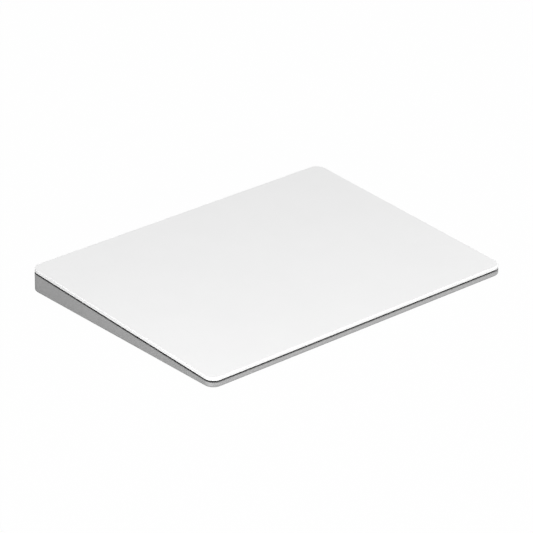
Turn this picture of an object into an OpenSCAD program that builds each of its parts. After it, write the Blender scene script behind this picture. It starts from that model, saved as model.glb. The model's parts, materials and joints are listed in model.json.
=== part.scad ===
// Wedge-shaped desktop trackpad with a glass touch plate carried on four sensing beams.
// Millimetres. The desk is z = 0, +X is the user's right, +Y is the rear edge.

/* [Overall] */
// Width of the body, left to right
pad_w = 160; // [150:1:190]
// Depth of the body, front to rear
pad_d = 115; // [112:1:135]
// Height of the glass over the desk at the rear edge
rear_h = 10.9; // [10.5:0.1:14]
// Height of the glass over the desk at the front edge
front_h = 4.9; // [4.8:0.1:6]
// Corner radius of the body seen from above
corner_r = 4.5; // [3.5:0.5:8]

/* [Touch plate] */
// Thickness of the cover glass
glass_t = 1.4; // [1:0.1:1.5]
// How far the glass edge stands inside the body's outline
glass_inset = 0.1; // [0.1:0.05:0.6]
// Radius of the glass's upper edge
glass_edge_r = 0.4; // [0.2:0.05:0.6]
// Open height between the glass and the body's rim
shadow_gap = 0.8; // [0.5:0.05:1]
// Thickness of the adhesive and black print behind the glass
bond_t = 0.15; // [0.1:0.05:0.3]
// How far the adhesive stands inside the body's outline
bond_margin = 2; // [1:0.5:4]
// Thickness of the touch grid board
sensor_t = 0.7; // [0.5:0.1:0.9]
// How far the touch grid board stands inside the body's outline
sensor_margin = 5; // [4:0.5:7]
// Thickness of the stamped stiffener
stiffener_t = 0.4; // [0.3:0.05:0.5]
// How far the stiffener stands inside the body's outline
stiffener_margin = 7; // [6:0.5:8]
// Side length of the touch controller chip
controller_w = 9; // [6:0.5:12]
// Height of the touch controller chip
controller_h = 0.8; // [0.5:0.1:1]
// Middle of that chip, to the right of the middle of the body
controller_right = 30; // [20:1:40]
// Middle of that chip, behind the middle of the body
controller_rear = 14; // [8:1:20]

/* [Base tray] */
// Wall thickness of the tray
wall_t = 1.6; // [1.2:0.1:2]
// Floor thickness of the tray
floor_t = 1; // [0.9:0.1:1.2]
// Width of the lip round the tray's rim, outside the step that keeps the gap dark
rim_lip_w = 0.5; // [0.4:0.05:0.8]
// Rounding of the tray's lower outer edge
lower_edge_r = 0.9; // [0.4:0.1:1.6]
// Rounding where the tray's floor meets its walls
pocket_r = 0.5; // [0.3:0.1:1]
// Metal left under a blind screw hole
floor_skin = 0.3; // [0.2:0.05:0.4]

/* [Feet] */
// Diameter of a foot
foot_dia = 9; // [7:0.5:11]
// How far a foot stands below the tray
foot_proud = 0.5; // [0.4:0.1:0.8]
// Depth of the recess that holds a foot
foot_recess = 0.4; // [0.3:0.05:0.5]
// Foot centre from the body's edges
foot_inset = 14; // [12:0.5:18]

/* [Force beams] */
// Thickness of a beam
beam_t = 0.4; // [0.3:0.05:0.5]
// Width of a beam's neck
beam_neck_w = 6; // [5:0.5:7]
// Distance from the gel pad to the screws of a beam
beam_reach = 17; // [16:0.5:20]
// Beam centreline from the body's side
beam_inset = 13; // [12:0.5:15]
// Gel pad centre from the front or rear edge
gel_inset = 12.5; // [12:0.5:15]
// Width of a beam's screwed end
root_w = 12.5; // [11.5:0.5:14]
// Length of a beam's screwed end
root_l = 8; // [7:0.5:9]
// Distance between the two screws of a beam
root_pitch = 7.2; // [6.8:0.1:8]
// Diameter of a gel pad
gel_dia = 8; // [6:0.5:8.5]
// Thickness of a gel pad
gel_t = 0.5; // [0.4:0.05:0.6]
// Width of a strain gauge film
gauge_w = 4.4; // [3:0.2:5]
// Length of a strain gauge film
gauge_l = 5; // [3:0.5:6]

/* [Small screws] */
// Shank diameter of the small screws
screw_dia = 1.3; // [1:0.1:1.5]
// Head diameter of the small screws
screw_head_dia = 2.5; // [2:0.1:2.8]
// Head height of the small screws
screw_head_h = 0.4; // [0.3:0.05:0.5]
// Room round a screw shank
screw_clear = 0.1; // [0.05:0.05:0.2]
// Depth that a beam screw goes into its boss
beam_screw_depth = 1.4; // [1:0.1:1.6]

/* [Battery] */
// Length of the cell, left to right
cell_w = 88; // [60:1:92]
// Depth of the cell, front to rear
cell_d = 34; // [24:1:36]
// Thickness of the cell
cell_t = 3.2; // [2.6:0.1:3.4]
// Rounding along the cell's long edges
cell_edge_r = 1.1; // [0.6:0.1:1.2]
// Left end of the cell from the middle of the body
cell_left = 50; // [46:0.5:52]
// Thickness of the adhesive under the cell
tape_t = 0.1; // [0.05:0.05:0.2]
// Width of the sealed end of the cell, with its board
terrace_w = 5.5; // [4.5:0.5:7]
// Open space between the cell and the main board
cell_gap = 4.5; // [4:0.5:6]
// Height of the ribs round the cell
rib_h = 1.2; // [0.8:0.1:1.6]
// Thickness of those ribs
rib_t = 0.8; // [0.6:0.1:1]
// Diameter of the battery wires
wire_dia = 0.9; // [0.6:0.05:1]
// Distance between the two wires
wire_pitch = 2.2; // [1.6:0.1:2.6]
// Width of the battery plug
plug_w = 5; // [4.5:0.1:6]
// Depth of the battery plug
plug_d = 2.8; // [2.4:0.1:3.2]

/* [Main board] */
// Length of the main board, left to right
board_w = 100; // [96:1:104]
// Depth of the main board, front to rear
board_d = 16; // [15:0.5:18]
// Thickness of the boards
board_t = 0.8; // [0.6:0.1:1]
// Height of the posts under the main board
post_h = 0.9; // [0.6:0.1:1.2]
// Diameter of those posts
post_dia = 4; // [3:0.5:5]
// Open space between the main board and the rear wall
board_gap = 1.4; // [1.2:0.1:2]
// Screw centres from the main board's ends
board_screw_inset = 2.2; // [2:0.1:3]
// Height of the flex sockets
socket_h = 1.2; // [1:0.1:1.4]
// Depth of the flex sockets
socket_d = 3.2; // [2.6:0.2:4]
// Flex sockets from the main board's edge
socket_rest = 0.6; // [0.4:0.1:1]
// Plastic beyond the flex at each end of a socket
socket_end = 0.5; // [0.4:0.1:1]
// Open space between the pieces on the main board
board_room = 1; // [0.8:0.1:1.4]
// Length of the shield can, left to right
shield_w = 16; // [14:0.5:18]
// Height of the shield can
shield_h = 1.7; // [1.4:0.1:2]
// Sheet thickness of the shield can
shield_t = 0.2; // [0.15:0.05:0.3]
// Diameter of the vents in the shield can
vent_dia = 1; // [0.6:0.1:1.2]
// Distance between those vents
vent_pitch = 2.6; // [2:0.1:3]
// Side length of the radio chip
radio_w = 6; // [4:0.5:7]
// Height of the radio chip
radio_h = 0.9; // [0.6:0.1:1.1]
// Side length of the charging chip
charge_w = 4; // [3:0.5:5]
// Height of the charging chip
charge_h = 0.8; // [0.6:0.1:1]
// Side length of the power coil
coil_w = 4.2; // [3:0.2:5]
// Height of the power coil
coil_h = 1.6; // [1:0.1:2]
// Length of a small passive piece
passive_l = 1; // [0.6:0.1:1.2]
// Width and height of a small passive piece
passive_w = 0.5; // [0.3:0.1:0.6]
// Distance between the small passive pieces
passive_pitch = 2; // [1.6:0.1:2.4]

/* [Antenna] */
// Length of the antenna carrier, left to right
antenna_w = 9; // [7:0.5:11]
// Depth of the antenna carrier, front to rear
antenna_d = 7; // [5:0.5:8]
// Wall thickness of the antenna carrier
antenna_wall = 1; // [0.8:0.1:1.2]
// Thickness of the antenna's metal
antenna_t = 0.15; // [0.1:0.05:0.2]
// Width of a slot in the antenna's metal
antenna_slot = 1.2; // [0.8:0.1:1.4]
// Open space between the antenna and the plate above it
antenna_room = 0.8; // [0.6:0.1:1.5]

/* [Flexes] */
// Thickness of the flat flexes
flex_t = 0.12; // [0.1:0.02:0.2]
// Width of the flex to the touch plate
flex_w = 12; // [8:0.5:14]
// Middle of that flex, to the left of the middle of the body
flex_left = 20; // [18:0.5:23]
// Width of the other flexes
strip_w = 2.4; // [1.6:0.2:2.8]
// Depth of the floor groove under the battery for the drive's flex
groove_depth = 0.3; // [0.2:0.05:0.4]
// Room beside the flex in that groove
groove_room = 0.3; // [0.2:0.05:0.5]

/* [Charge port] */
// Outer width of the port's shell
port_w = 8.94; // [8.7:0.02:9.2]
// Outer height of the port's shell
port_h = 3.26; // [3:0.02:3.4]
// Length of the port's shell
port_l = 7.3; // [6.5:0.1:8]
// Sheet thickness of the port's shell
port_sheet_t = 0.3; // [0.2:0.02:0.35]
// Depth of the open part of the port
port_depth = 5.4; // [4.5:0.1:6]
// Width of the tongue in the port
tongue_w = 6.6; // [6:0.1:6.8]
// Thickness of the tongue in the port
tongue_t = 0.7; // [0.6:0.05:0.8]
// Recess of the port's mouth behind the outer face
port_recess = 0.6; // [0.3:0.1:1]
// Room round the port in the rear wall
port_clear = 0.12; // [0.1:0.01:0.2]
// Sheet thickness of the strap over the port
strap_t = 0.4; // [0.3:0.05:0.5]
// Width of that strap
strap_d = 4; // [3:0.5:4.5]
// Length of the strap's ears
ear_w = 4.4; // [4:0.1:5]
// Middle of the strap from the main board's rear edge
strap_inset = 3; // [2.5:0.1:3.5]

/* [Power switch] */
// Width of the knob that shows
knob_w = 4.8; // [4:0.1:6]
// Height of the knob that shows
knob_h = 2.2; // [1.8:0.1:2.6]
// Travel of the knob
knob_travel = 2.4; // [1.6:0.1:3]
// Room round the knob in its window
knob_clear = 0.15; // [0.1:0.05:0.25]
// How far the knob stands out of the rear wall
knob_proud = 0.15; // [0:0.05:0.4]
// Thickness of the cover behind the knob
cover_t = 0.4; // [0.3:0.05:0.5]
// Middle of the switch to the right of the middle of the body
switch_right = 32; // [24:0.5:36]
// Width of the switch's housing
housing_w = 8.6; // [8:0.1:10]
// Depth of the switch's housing
housing_d = 3.4; // [3:0.1:4]

/* [Haptic drive] */
// Gap between the electromagnet and its armature
air_gap = 0.35; // [0.3:0.05:0.5]
// Distance between the electromagnet's poles
pole_pitch = 14; // [11:0.5:16]
// Width of a pole
pole_w = 5; // [4:0.5:6]
// Thickness of a pole
pole_t = 1; // [0.8:0.1:1.1]
// Length of a pole
pole_l = 6; // [4:0.5:7]
// Depth of the bar that joins the poles
yoke_d = 3; // [2:0.5:4]
// Wall of a coil former
former_t = 0.15; // [0.1:0.05:0.2]
// Build-up of a winding above and below its pole
winding_t = 0.35; // [0.25:0.05:0.4]
// Build-up of a winding at the sides of its pole
winding_side_t = 0.9; // [0.6:0.1:1.2]
// Thickness of the drive's base plate
drive_base_t = 0.4; // [0.3:0.05:0.5]
// Thickness of the armature's hanging leg
armature_t = 2.2; // [1.6:0.1:2.6]
// Space between the armature and the battery
armature_gap = 2; // [1.6:0.1:3]
// Thickness of a coil former's end flange
flange_t = 0.3; // [0.2:0.05:0.4]
// Diameter of the base plate's screw ears
drive_ear_dia = 4.4; // [4:0.1:5]

/* [Hidden] */
$fn = 48;
// overrun of a cutter past the face that it opens
cut = 1;
// keeps the ends of a slot a hair short of a half circle
slot_trim = 0.01;
// corner radii of boards, plates and chips
plate_r = 3;
board_r = 1;
chip_r = 0.3;
// slope of the deck and its place
tilt = atan((rear_h - front_h) / pad_d);
mid_h = (front_h + rear_h) / 2;
deck_d = pad_d / cos(tilt);
// depths below the top of the glass, square to it
rim_n = glass_t + shadow_gap;
sensor_n = glass_t + bond_t;
stiffener_n = sensor_n + sensor_t;
gel_n = stiffener_n + stiffener_t;
beam_n = gel_n + gel_t;
boss_n = beam_n + beam_t;
// heights over the desk
floor_z = foot_proud + floor_t;
groove_z = floor_z - groove_depth;
// depth of the step behind the rim's lip, half the inside height of the front wall
rim_step = (deck_z(-pad_d / 2, rim_n) - floor_z) / 2;
board_z = floor_z + post_h;
board_top = board_z + board_t;
port_z = board_top + port_h / 2;
// inside of the tray
inner_w = pad_w - 2 * wall_t;
inner_d = pad_d - 2 * wall_t;
inner_rear = inner_d / 2;
embed = floor_t / 2;
screw_hole = screw_dia + 2 * screw_clear;
// feet
foot_x = pad_w / 2 - foot_inset;
foot_y = pad_d / 2 - foot_inset;
foot_edge_r = 0.3;
// beams, in deck coordinates
beam_x = pad_w / 2 - beam_inset;
gel_v = deck_d / 2 - gel_inset;
root_v = gel_v - beam_reach;
tip_over = 0.5;
tip_dia = gel_dia + 2 * tip_over;
boss_margin = 0.5;
boss_v = root_v - root_l / 2 - boss_margin;
boss_inner = beam_x - root_w / 2 - boss_margin;
gauge_v = gel_v - (gel_dia / 2 + beam_reach - root_l / 2) / 2;
// rows of pieces from the rear wall forwards
board_rear = inner_rear - board_gap;
board_front = board_rear - board_d;
board_mid = (board_rear + board_front) / 2;
cell_rear = board_front - cell_gap;
cell_front = cell_rear - cell_d;
// battery, with its sealed end, small board, wires and plug
cell_z = floor_z + tape_t;
cell_x = cell_w / 2 - cell_left;
cell_right = cell_w - cell_left;
cell_room = 0.4;
seam_w = 0.6;
seam_h = 1.6;
seal_t = 0.4;
seal_top = cell_z + cell_t / 2 + seal_t / 2;
tape_end = 3;
tape_d = cell_d / 4;
battery_board_rear = cell_rear - 5;
battery_board_l = cell_d / 2;
battery_board_edge = 0.4;
lead_x = cell_right + terrace_w / 2;
over_screws = 0.2;
wire_z = board_top + screw_head_h + over_screws + wire_dia / 2;
plug_roof = 0.3;
plug_h = wire_z + wire_dia / 2 + plug_roof - board_top;
beside_screws = 0.3;
plug_front = board_front + board_screw_inset + screw_head_dia / 2 + beside_screws;
// flex sockets on the main board
socket_front = board_front + socket_rest;
strip_socket_w = strip_w + 2 * socket_end;
flex_socket_w = flex_w + 2 * socket_end;
harness_y = plug_front + plug_d + beside_screws + strip_socket_w / 2;
drive_socket_x = -(flex_left + flex_socket_w / 2 + board_room + strip_socket_w / 2);
// charge port and its strap
port_rear = pad_d / 2 - port_recess;
tongue_start = 0.8;
contact_start = 1.4;
contact_pitch = 0.5;
contact_w = 0.25;
contact_t = 0.05;
strap_room = 0.05;
strap_span = port_w + 2 * strap_room;
strap_y = board_rear - strap_inset;
strap_ear_x = strap_span / 2 + (strap_t + ear_w) / 2;
// other pieces on the main board
shield_x = -flex_left;
shield_d = board_d - socket_rest - socket_d - 2 * board_room;
shield_y = board_rear - board_room - shield_d / 2;
chip_y = board_rear - 2 * board_room - coil_w / 2;
charge_x = strap_span / 2 + ear_w + board_room + charge_w / 2;
coil_x = charge_x + charge_w / 2 + board_room + coil_w / 2;
antenna_x = shield_x - shield_w / 2 - 2 * board_room - antenna_w / 2;
antenna_y = board_rear - board_room - antenna_d / 2;
antenna_top = deck_z(antenna_y - antenna_d / 2, gel_n) - antenna_room - antenna_t;
// haptic drive
former_clear = 0.05;
former_wall = former_clear + former_t;
winding_trim = 0.03;
coil_half = pole_t / 2 + former_wall + winding_t;
coil_side = pole_w / 2 + former_wall + winding_side_t;
under_coil = 0.05;
pole_z = floor_z + drive_base_t + under_coil + coil_half;
armature_rear = cell_front - armature_gap;
pole_y = armature_rear - armature_t - air_gap;
yoke_rear = pole_y - pole_l;
yoke_front = yoke_rear - yoke_d;
yoke_w = 2 * pole_pitch + pole_w;
coil_front = yoke_rear + 0.2;
coil_rear = pole_y - 0.4;
drive_edge = 1;
drive_ear_x = yoke_w / 2 + 4;
drive_ear_y = (yoke_front + yoke_rear) / 2;
// flex loop between the touch plate and the main board
flex_low_z = board_top + socket_h / 2;
flex_n = stiffener_n + socket_h / 2;
flex_step = 2;
flex_v = socket_front + flex_step;
flex_high_y = flex_v * cos(tilt) + flex_n * sin(tilt);
flex_high_z = deck_z(flex_high_y, flex_n);
flex_bend_r = (flex_high_z - flex_low_z) / 2;
flex_bend_y = board_front - socket_rest;
// power switch
window_w = knob_w + knob_travel + 2 * knob_clear;
window_h = knob_h + 2 * knob_clear;
cover_over = 0.5;
cover_w = window_w + knob_travel + 2 * cover_over;
cover_h = window_h + 2 * cover_over;
cover_room = 0.2;
cover_rear = inner_rear - cover_room;
switch_x = switch_right - knob_travel / 2;
stem_w = 1.2;
stem_h = 1;
stem_l = 2.2;
flag_t = 0.05;
housing_rear = board_rear - 0.2;
housing_back_t = 0.6;
slot_room = 0.2;
// floor lanes of the flat flexes
lane_x = (board_w / 2 + boss_inner) / 2;
groove_front = coil_rear - strip_w;
drive_lead_x = pole_pitch + coil_side;

CORNERS = [["front_left", -1, -1], ["front_right", 1, -1], ["rear_left", -1, 1], ["rear_right", 1, 1]];

// height of the plane n below the glass, at a place y from the middle
function deck_z(y, n) = mid_h + y * tan(tilt) - n / cos(tilt);

// place on the floor below a deck coordinate v, square to the deck
function floor_y(v) = v * cos(tilt) + (mid_h + v * sin(tilt) - floor_z) * tan(tilt);

// children drawn on the plane n below the top of the glass
module on_deck(n) {
    translate([0, 0, mid_h]) rotate([tilt, 0, 0]) translate([0, 0, -n]) children();
}

module round_rect(w, d, r) {
    square([w - 2 * r, d], center = true);
    square([w, d - 2 * r], center = true);
    for (sx = [-1, 1], sy = [-1, 1])
        translate([sx * (w / 2 - r), sy * (d / 2 - r)]) circle(r);
}

module slab(w, d, t, r) {
    linear_extrude(t) round_rect(w, d, r);
}

// section through an edge, reach wide and h high, its lower outer corner rounded
module edge_section(reach, h, edge_r) {
    difference() {
        square([reach, h]);
        translate([reach - edge_r, 0]) difference() {
            square([edge_r + cut, edge_r]);
            translate([0, edge_r]) circle(edge_r);
        }
        translate([reach, -cut]) square([cut, cut]);
    }
}

// block with round corners and a rounded lower edge, standing on z = 0
module soft_block(w, d, h, r, edge_r) {
    half_w = w / 2 - r;
    half_d = d / 2 - r;
    translate([-half_w, -half_d, 0]) cube([2 * half_w, 2 * half_d, h]);
    for (turn = [0, 180]) rotate(turn) {
        translate([half_w, half_d, 0]) rotate_extrude(angle = 90) edge_section(r, h, edge_r);
        translate([-half_w, half_d, 0]) rotate(90) rotate_extrude(angle = 90) edge_section(r, h, edge_r);
        translate([-half_w, half_d, 0]) rotate([90, 0, 90])
            linear_extrude(2 * half_w) edge_section(r, h, edge_r);
        translate([half_w, half_d, 0]) rotate([90, 0, 0])
            linear_extrude(2 * half_d) edge_section(r, h, edge_r);
    }
}

// outline with round ends, standing across the rear wall from y = from to y = to
module rear_slot(w, h, from, to) {
    translate([0, to, 0]) rotate([90, 0, 0]) linear_extrude(to - from) round_rect(w, h, h / 2 - slot_trim);
}

module screw(depth) {
    cylinder(h = screw_head_h, d = screw_head_dia);
    translate([0, 0, -depth]) cylinder(h = depth, d = screw_dia);
}

module at_beam_screws() {
    for (sx = [-1, 1], sv = [-1, 1], side = [-1, 1])
        translate([sx * beam_x + side * root_pitch / 2, sv * root_v, 0]) children();
}

module at_board_screws() {
    for (sx = [-1, 1], y = [board_front + board_screw_inset, board_rear - board_screw_inset])
        translate([sx * (board_w / 2 - board_screw_inset), y, 0]) children();
}

module at_drive_screws() {
    for (sx = [-1, 1]) translate([sx * drive_ear_x, drive_ear_y, 0]) children();
}

module at_poles() {
    for (k = [-1, 0, 1]) translate([k * pole_pitch, 0, pole_z]) children();
}

// touch plate

module touch_glass() {
    w = pad_w - 2 * glass_inset;
    d = deck_d - 2 * glass_inset;
    color("whitesmoke") on_deck(0) mirror([0, 0, 1])
        soft_block(w, d, glass_t, corner_r - glass_inset, glass_edge_r);
}

module bonding_sheet() {
    color("black") on_deck(sensor_n)
        slab(pad_w - 2 * bond_margin, deck_d - 2 * bond_margin, bond_t, corner_r - bond_margin / 2);
}

module sensor_board() {
    color("darkgreen") on_deck(stiffener_n)
        slab(pad_w - 2 * sensor_margin, deck_d - 2 * sensor_margin, sensor_t, plate_r);
}

module touch_controller() {
    color("dimgray") on_deck(stiffener_n + controller_h)
        translate([controller_right, controller_rear, 0])
            slab(controller_w, controller_w, controller_h, chip_r);
}

module sensor_socket() {
    color("ivory") on_deck(stiffener_n + socket_h)
        translate([-flex_left - flex_socket_w / 2, flex_v, 0]) cube([flex_socket_w, socket_d, socket_h]);
}

module stiffener_plate() {
    w = pad_w - 2 * stiffener_margin;
    d = deck_d - 2 * stiffener_margin;
    chip_room = 1.5;
    window = controller_w + 2 * chip_room;
    notch_w = flex_socket_w + 2 * chip_room;
    notch_front = flex_bend_y - flex_bend_r;
    root_room = 1;
    color("silver") on_deck(gel_n) linear_extrude(stiffener_t) difference() {
        round_rect(w, d, plate_r);
        translate([controller_right, controller_rear]) round_rect(window, window, board_r);
        translate([-flex_left - notch_w / 2, notch_front]) square([notch_w, d / 2]);
        for (sx = [-1, 1], sv = [-1, 1])
            translate([sx * (beam_x + beam_inset / 2), sv * root_v])
                square([root_w + beam_inset + 2 * root_room, root_l + 2 * root_room], center = true);
    }
}

// iron angle under the stiffener, its hanging leg facing the poles
module armature() {
    pole_n = (deck_z(pole_y + air_gap, 0) - pole_z) * cos(tilt);
    front_v = (pole_y + air_gap - (pole_n - pole_t) * sin(tilt)) / cos(tilt);
    drop = pole_n + pole_t / 2 - gel_n;
    lip_t = 0.5;
    lip_d = armature_t + 1.5;
    color("gray") on_deck(gel_n) translate([-yoke_w / 2, front_v, 0]) rotate([90, 0, 90])
        linear_extrude(yoke_w) union() {
            translate([0, -drop]) square([armature_t, drop]);
            translate([0, -lip_t]) square([lip_d, lip_t]);
        }
}

module gel_pad(sx, sv) {
    color("lightblue") on_deck(beam_n) translate([sx * beam_x, sv * gel_v, 0])
        cylinder(h = gel_t, d = gel_dia);
}

// base

module tray_shell() {
    difference() {
        translate([0, 0, foot_proud]) soft_block(pad_w, pad_d, rear_h, corner_r, lower_edge_r);
        translate([0, 0, floor_z]) soft_block(inner_w, inner_d, rear_h, corner_r - wall_t, pocket_r);
        on_deck(rim_n) translate([-pad_w, -pad_d, 0]) cube([2 * pad_w, 2 * pad_d, 2 * rear_h]);
        on_deck(rim_n + rim_step)
            slab(pad_w - 2 * rim_lip_w, deck_d - 2 * rim_lip_w, rear_h, corner_r - rim_lip_w);
    }
}

module beam_bosses() {
    boss_w = root_w + 2 * boss_margin;
    boss_l = root_l + 2 * boss_margin;
    intersection() {
        on_deck(boss_n) for (sx = [-1, 1], sv = [-1, 1])
            translate([sx * beam_x, sv * root_v, -rear_h]) slab(boss_w, boss_l, rear_h, board_r);
        translate([-pad_w / 2, -pad_d / 2, floor_z - embed]) cube([pad_w, pad_d, rear_h]);
    }
}

// low ribs round the battery
module cell_fence() {
    rib_l = 14;
    for (x = [cell_x - cell_w / 4, cell_x + cell_w / 4])
        translate([x - rib_l / 2, cell_rear + cell_room, floor_z - embed])
            cube([rib_l, rib_t, rib_h + embed]);
    for (y = [cell_front + cell_d / 4, cell_rear - cell_d / 4])
        translate([-cell_left - cell_room - rib_t, y - rib_l / 4, floor_z - embed])
            cube([rib_t, rib_l / 2, rib_h + embed]);
}

// way for the drive's flex along the floor, under the battery and through a rib
module floor_groove() {
    h = groove_depth + rib_h + cut;
    w = strip_w + 2 * groove_room;
    translate([drive_socket_x - w / 2, groove_front - groove_room, groove_z]) {
        cube([w, board_front - groove_front, h]);
        cube([w / 2 - drive_socket_x - drive_lead_x + groove_room, w, h]);
    }
}

module base_tray() {
    board_hole = post_h + floor_t - floor_skin;
    color("lightgray") difference() {
        union() {
            tray_shell();
            beam_bosses();
            cell_fence();
            at_board_screws() translate([0, 0, floor_z - embed]) cylinder(h = embed + post_h, d = post_dia);
        }
        floor_groove();
        on_deck(boss_n) at_beam_screws() translate([0, 0, -beam_screw_depth - screw_clear])
            cylinder(h = beam_screw_depth + screw_clear + cut, d = screw_hole);
        at_board_screws() translate([0, 0, board_z - board_hole])
            cylinder(h = board_hole + cut, d = screw_hole);
        at_drive_screws() translate([0, 0, foot_proud + floor_skin])
            cylinder(h = floor_t, d = screw_hole);
        for (c = CORNERS) translate([c[1] * foot_x, c[2] * foot_y, foot_proud - cut])
            cylinder(h = foot_recess + cut, d = foot_dia);
        translate([0, 0, port_z])
            rear_slot(port_w + 2 * port_clear, port_h + 2 * port_clear, inner_rear - cut, pad_d / 2 + cut);
        translate([switch_right, 0, port_z])
            rear_slot(window_w, window_h, inner_rear - cut, pad_d / 2 + cut);
    }
}

module foot(sx, sy) {
    color("dimgray") translate([sx * foot_x, sy * foot_y, 0])
        rotate_extrude() edge_section(foot_dia / 2, foot_proud + foot_recess, foot_edge_r);
}

// leaf spring, its round tip under the gel pad and its wide end screwed to a boss
module sensor_beam(sx, sv) {
    color("silver") on_deck(boss_n) linear_extrude(beam_t) difference() {
        union() {
            translate([sx * beam_x, sv * gel_v]) circle(d = tip_dia);
            translate([sx * beam_x, sv * (gel_v - beam_reach / 2)])
                square([beam_neck_w, beam_reach], center = true);
            translate([sx * beam_x, sv * root_v]) round_rect(root_w, root_l, board_r);
        }
        for (side = [-1, 1]) translate([sx * beam_x + side * root_pitch / 2, sv * root_v])
            circle(d = screw_hole);
    }
}

module strain_gauge(sx, sv) {
    color("orange") on_deck(beam_n) translate([sx * beam_x, sv * gauge_v, 0])
        slab(gauge_w, gauge_l, flex_t, chip_r);
}

module beam_screws() {
    color("gray") on_deck(beam_n) at_beam_screws() screw(beam_t + beam_screw_depth);
}

// flat flex from both gauges of one side to the main board
module gauge_harness(sx) {
    front_y = floor_y(-boss_v);
    rear_y = floor_y(boss_v - flex_t);
    branch_y = boss_v - 1.5 * strip_w;
    socket_x = board_w / 2 - socket_rest;
    turn_x = lane_x - strip_w / 2;
    flat_x = socket_x + (turn_x - socket_x) / 3;
    low = flex_low_z - flex_t / 2;
    high = flex_low_z + flex_t / 2;
    color("darkorange") mirror([sx < 0 ? 1 : 0, 0, 0]) {
        intersection() {
            on_deck(beam_n) for (sv = [-1, 1]) {
                translate([beam_x - strip_w / 2, sv > 0 ? boss_v - flex_t : -(gauge_v - gauge_l / 2), 0])
                    cube([strip_w, gauge_v - gauge_l / 2 - boss_v + flex_t, flex_t]);
                translate([beam_x - strip_w / 2, sv > 0 ? boss_v - flex_t : -boss_v, -rear_h])
                    cube([strip_w, flex_t, rear_h + flex_t]);
            }
            translate([0, -pad_d / 2, floor_z]) cube([pad_w, pad_d, rear_h]);
        }
        translate([beam_x - strip_w / 2, front_y, floor_z]) cube([strip_w, rear_y - front_y, flex_t]);
        translate([turn_x, branch_y - strip_w / 2, floor_z]) cube([beam_x - turn_x, strip_w, flex_t]);
        translate([turn_x, branch_y - strip_w / 2, floor_z])
            cube([strip_w, harness_y - branch_y + strip_w, flex_t]);
        translate([0, harness_y + strip_w / 2, 0]) rotate([90, 0, 0]) linear_extrude(strip_w) polygon([
            [lane_x, floor_z],
            [turn_x, floor_z],
            [flat_x, low],
            [socket_x, low],
            [socket_x, high],
            [flat_x, high],
            [turn_x, floor_z + flex_t],
            [lane_x, floor_z + flex_t]
        ]);
    }
}

// pouch cell: a soft-edged body with a pressed seam along both sides and a flat sealed end
module battery_cell() {
    body_d = cell_d - 2 * seam_w;
    color("slategray") translate([0, (cell_front + cell_rear) / 2, cell_z + cell_t / 2]) {
        translate([-cell_left, 0, 0]) rotate([90, 0, 90])
            linear_extrude(cell_w) round_rect(body_d, cell_t, cell_edge_r);
        translate([cell_right, cell_edge_r - body_d / 2, -seal_t / 2])
            cube([terrace_w, body_d - 2 * cell_edge_r, seal_t]);
        for (side = [-1, 1]) translate([-cell_left, side * (cell_d - seam_w) / 2 - seam_w / 2, -seam_h / 2])
            cube([cell_w, seam_w, seam_h]);
    }
}

module battery_tape() {
    color("white") for (y = [cell_front + cell_d / 4, cell_rear - cell_d / 4])
        translate([tape_end - cell_left, y - tape_d / 2, floor_z])
            cube([cell_w - 2 * tape_end, tape_d, tape_t]);
}

module battery_board() {
    color("darkgreen")
        translate([cell_right + battery_board_edge, battery_board_rear - battery_board_l, seal_top])
            cube([terrace_w - 2 * battery_board_edge, battery_board_l, board_t]);
}

module battery_wires() {
    color("firebrick") for (side = [-1, 1])
        translate([lead_x + side * wire_pitch / 2, battery_board_rear, wire_z])
            rotate([-90, 0, 0]) cylinder(h = plug_front - battery_board_rear, d = wire_dia);
}

module battery_plug() {
    color("ivory") translate([lead_x - plug_w / 2, plug_front, board_top]) cube([plug_w, plug_d, plug_h]);
}

module main_board() {
    color("darkgreen") difference() {
        translate([0, board_mid, board_z]) slab(board_w, board_d, board_t, board_r);
        at_board_screws() translate([0, 0, board_z - cut]) cylinder(h = board_t + 2 * cut, d = screw_hole);
        at_port_screws() translate([0, 0, board_z - cut]) cylinder(h = board_t + 2 * cut, d = screw_hole);
    }
}

module board_screws() {
    color("gray") at_board_screws() translate([0, 0, board_top]) screw(board_t + post_h);
}

// deep-drawn lid over the radio, open below
module shield_can() {
    inner_h = shield_h - shield_t + cut;
    color("gainsboro") translate([shield_x, shield_y, board_top]) difference() {
        slab(shield_w, shield_d, shield_h, board_r);
        translate([0, 0, -cut])
            slab(shield_w - 2 * shield_t, shield_d - 2 * shield_t, inner_h, board_r - shield_t);
        for (k = [-2 : 2]) translate([k * vent_pitch, 0, 0]) cylinder(h = shield_h + cut, d = vent_dia);
    }
}

module radio_chip() {
    color("dimgray") translate([shield_x, shield_y, board_top]) slab(radio_w, radio_w, radio_h, chip_r);
}

module charge_chip() {
    color("dimgray") translate([charge_x, chip_y, board_top]) slab(charge_w, charge_w, charge_h, chip_r);
}

module power_coil() {
    color("gray") translate([coil_x, chip_y, board_top]) slab(coil_w, coil_w, coil_h, 2 * chip_r);
}

module board_passives() {
    count = 8;
    rows = 2;
    color("tan") for (i = [0 : count - 1], j = [0 : rows - 1])
        translate([strap_span / 2 + i * passive_pitch, socket_front + j * passive_pitch, board_top])
            cube([passive_l, passive_w, passive_w]);
}

module flex_socket() {
    color("ivory") translate([-flex_left - flex_socket_w / 2, socket_front, board_top])
        cube([flex_socket_w, socket_d, socket_h]);
}

module harness_sockets() {
    color("ivory") for (sx = [-1, 1]) mirror([sx < 0 ? 1 : 0, 0, 0])
        translate([board_w / 2 - socket_rest - socket_d, harness_y - strip_socket_w / 2, board_top])
            cube([socket_d, strip_socket_w, socket_h]);
}

module drive_socket() {
    color("ivory") translate([drive_socket_x - strip_socket_w / 2, socket_front, board_top])
        cube([strip_socket_w, socket_d, socket_h]);
}

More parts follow.
